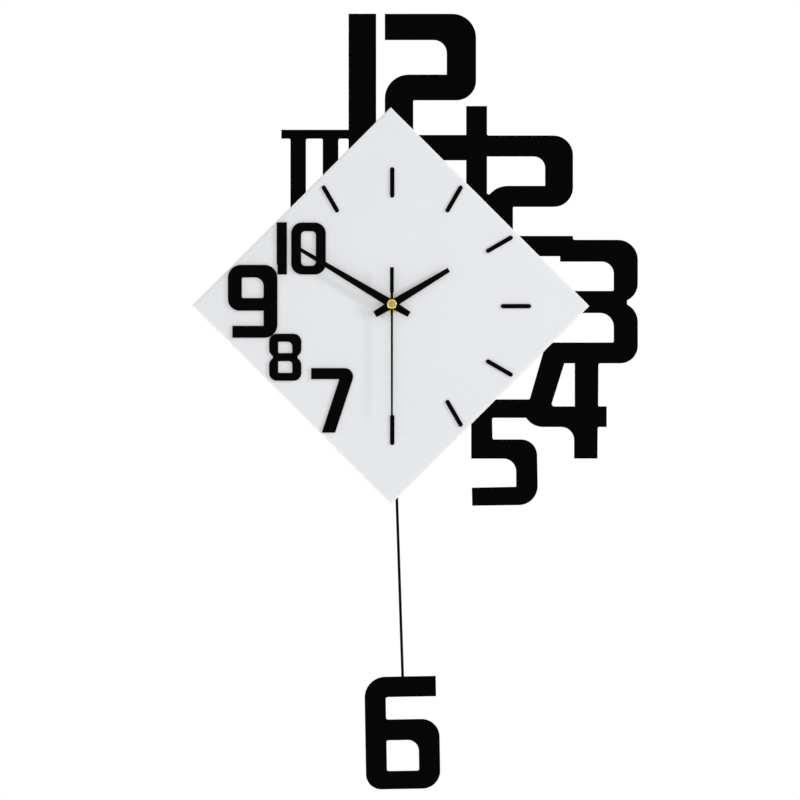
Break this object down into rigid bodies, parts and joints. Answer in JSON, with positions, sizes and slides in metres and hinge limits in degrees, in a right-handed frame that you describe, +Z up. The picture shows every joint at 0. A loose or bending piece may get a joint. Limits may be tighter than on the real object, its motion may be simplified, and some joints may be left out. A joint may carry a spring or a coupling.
{
  "type": "pendulum wall clock",
  "caption": "Quartz wall clock: a white square dial hung on its corner over a black plate of oversized block figures, with a figure-six bob swinging on a long rod.",
  "frame": {"origin": "on the wall plane, midway between the two keyhole entry holes of the hangers", "axes": "+X right and +Z up as seen from the front, the front faces -Y, +Y points into the wall"},
  "size_m": [0.4194, 0.045, 0.7306],
  "materials": {
    "dial_white": "polished white sheet with a bright bevel",
    "figure_black": "black sheet, satin",
    "plate_black": "black sheet, satin",
    "fibre_board": "bare fibreboard",
    "foam_tape": "white foam tape",
    "screw_steel": "zinc plated",
    "hanger_steel": "zinc plated sheet",
    "black_rubber": "matte",
    "magnet_steel": "nickel plated",
    "gear_white": "moulded acetal",
    "gear_brass": "moulded acetal",
    "knob_plastic": "moulded",
    "bridge_plastic": "moulded",
    "yoke_steel": "soft iron sheet",
    "copper_wire": "enamelled copper winding",
    "case_plastic": "moulded black",
    "brass": "polished",
    "battery_wrap": "plain printed sleeve",
    "contact_steel": "nickel plated strip",
    "circuit_green": "solder mask",
    "crystal_can": "drawn can",
    "pin_steel": "ground",
    "arm_plastic": "moulded",
    "rod_black": "black wire",
    "clip_plastic": "moulded",
    "hand_black": "black painted sheet"
  },
  "bodies": {
    "clock": {"dial_panel": "dial_white", "numeral_7": "figure_black", "numeral_8": "figure_black", "numeral_9": "figure_black", "numeral_10": "figure_black", "hour_marks": "figure_black", "number_plate": "plate_black", "back_board": "fibre_board", "tape_pads": "foam_tape", "plate_screws": "screw_steel", "hanger_screws": "screw_steel", "bumper_screws": "screw_steel", "bridge_screws": "screw_steel", "cover_screws": "screw_steel", "hanger_left": "hanger_steel", "hanger_right": "hanger_steel", "wall_bumpers": "black_rubber", "gasket": "black_rubber", "train_bridge": "bridge_plastic", "motor_stator": "yoke_steel", "motor_coil": "copper_wire", "drive_coil": "copper_wire", "movement_case": "case_plastic", "gear_cover": "case_plastic", "swing_cover": "case_plastic", "spindle_bush": "brass", "spindle_washer": "brass", "spindle_nut": "brass", "battery": "battery_wrap", "contact_minus": "contact_steel", "contact_plus": "contact_steel", "circuit_board": "circuit_green", "quartz_crystal": "crystal_can", "pivot_pin": "pin_steel"},
    "second_group": {"second_wheel": "gear_white", "second_hand": "hand_black", "hand_cap": "brass"},
    "step_group": {"step_wheel": "gear_white"},
    "rotor_group": {"motor_rotor": "magnet_steel"},
    "third_group": {"third_wheel": "gear_white"},
    "minute_group": {"centre_wheel": "gear_brass", "minute_hand": "hand_black"},
    "setting_group": {"minute_wheel": "gear_white", "setting_knob": "knob_plastic"},
    "hour_group": {"hour_wheel": "gear_white", "hour_bush": "brass", "hour_hand": "hand_black"},
    "pendulum": {"swing_arm": "arm_plastic", "arm_magnet": "magnet_steel", "pendulum_rod": "rod_black", "rod_clip": "clip_plastic", "clip_screws": "screw_steel", "bob_numeral_6": "plate_black"}
  },
  "joints": [
    {"name": "second_hand_turn", "type": "hinge", "parent": "clock", "child": "second_group", "pos_m": [0, -0.0086, -0.05], "axis": [0, 1, 0], "continuous": true},
    {"name": "step_wheel_turn", "type": "hinge", "parent": "clock", "child": "step_group", "pos_m": [0.0048, -0.0068, -0.04169], "axis": [0, 1, 0], "continuous": true},
    {"name": "rotor_turn", "type": "hinge", "parent": "clock", "child": "rotor_group", "pos_m": [0.01401, -0.007, -0.03833], "axis": [0, 1, 0], "continuous": true},
    {"name": "third_wheel_turn", "type": "hinge", "parent": "clock", "child": "third_group", "pos_m": [-0.00953, -0.0116, -0.0445], "axis": [0, 1, 0], "continuous": true},
    {"name": "minute_hand_turn", "type": "hinge", "parent": "clock", "child": "minute_group", "pos_m": [0, -0.013, -0.05], "axis": [0, 1, 0], "continuous": true},
    {"name": "setting_turn", "type": "hinge", "parent": "clock", "child": "setting_group", "pos_m": [0.01142, -0.0144, -0.05201], "axis": [0, 1, 0], "continuous": true},
    {"name": "hour_hand_turn", "type": "hinge", "parent": "clock", "child": "hour_group", "pos_m": [0, -0.0161, -0.05], "axis": [0, 1, 0], "continuous": true},
    {"name": "pendulum_swing", "type": "hinge", "parent": "clock", "child": "pendulum", "pos_m": [0, -0.0092, -0.0942], "axis": [0, 1, 0], "range_deg": [-3.11, 6.89]}
  ],
  "couplings": [
    {"joint": "step_wheel_turn", "follows": "second_hand_turn", "ratio": -5},
    {"joint": "rotor_turn", "follows": "second_hand_turn", "ratio": 30},
    {"joint": "third_wheel_turn", "follows": "second_hand_turn", "ratio": -0.13333},
    {"joint": "minute_hand_turn", "follows": "second_hand_turn", "ratio": 0.016667},
    {"joint": "setting_turn", "follows": "second_hand_turn", "ratio": -0.0055556},
    {"joint": "hour_hand_turn", "follows": "second_hand_turn", "ratio": 0.0013889}
  ]
}
